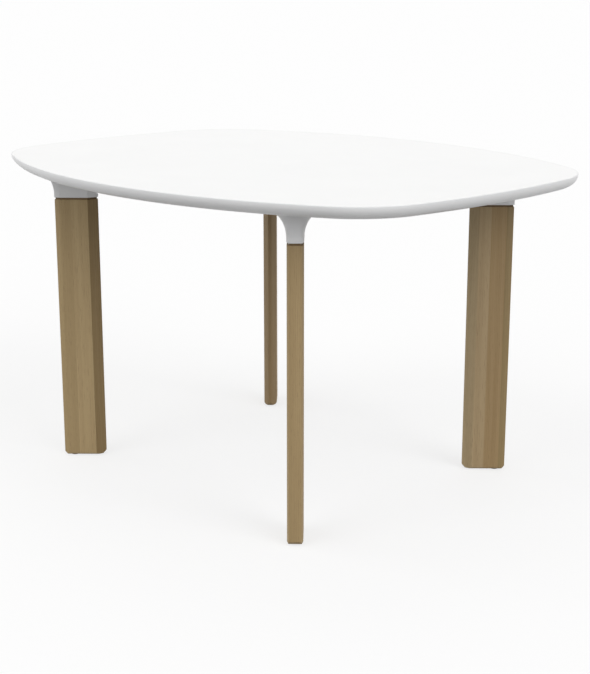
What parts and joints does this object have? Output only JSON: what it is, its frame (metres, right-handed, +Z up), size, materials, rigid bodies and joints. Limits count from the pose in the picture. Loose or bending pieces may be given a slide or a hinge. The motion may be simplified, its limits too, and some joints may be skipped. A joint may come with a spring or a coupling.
{
  "type": "dining table",
  "caption": "Dining table with a soft rounded white top, an undercut moulded edge, and solid oak blade legs set on the diagonals in flared white cast brackets.",
  "frame": {"origin": "on the floor, under the middle of the table top", "axes": "+X along the table's length, +Y across its width, +Z up"},
  "size_m": [1.3, 1.03, 0.73],
  "materials": {
    "laminate": "matt white high-pressure laminate",
    "core_board": "raw particle board, hidden",
    "moulded_edge": "satin white cast polyurethane",
    "balancing_sheet": "matt white backing laminate",
    "oak": "solid oak, clear matt oil",
    "powder_coat": "fine satin white powder coat on cast aluminium",
    "zinc_steel": "bright zinc plate",
    "insert_brass": "machined",
    "nylon": "dark nylon"
  },
  "bodies": {
    "root": {"top_laminate": "laminate", "top_core": "core_board", "top_edge": "moulded_edge", "balancing_sheet": "balancing_sheet", "leg_front_left": "oak", "leg_front_right": "oak", "leg_back_left": "oak", "leg_back_right": "oak", "bracket_front_left": "powder_coat", "bracket_front_right": "powder_coat", "bracket_back_left": "powder_coat", "bracket_back_right": "powder_coat", "top_screws_front_left": "zinc_steel", "top_screws_front_right": "zinc_steel", "top_screws_back_left": "zinc_steel", "top_screws_back_right": "zinc_steel", "core_inserts_front_left": "insert_brass", "core_inserts_front_right": "insert_brass", "core_inserts_back_left": "insert_brass", "core_inserts_back_right": "insert_brass", "leg_bolts_front_left": "zinc_steel", "leg_bolts_front_right": "zinc_steel", "leg_bolts_back_left": "zinc_steel", "leg_bolts_back_right": "zinc_steel", "leg_inserts_front_left": "insert_brass", "leg_inserts_front_right": "insert_brass", "leg_inserts_back_left": "insert_brass", "leg_inserts_back_right": "insert_brass", "glide_front_left": "nylon", "glide_front_right": "nylon", "glide_back_left": "nylon", "glide_back_right": "nylon", "glide_screw_front_left": "zinc_steel", "glide_screw_front_right": "zinc_steel", "glide_screw_back_left": "zinc_steel", "glide_screw_back_right": "zinc_steel"}
  },
  "joints": []
}
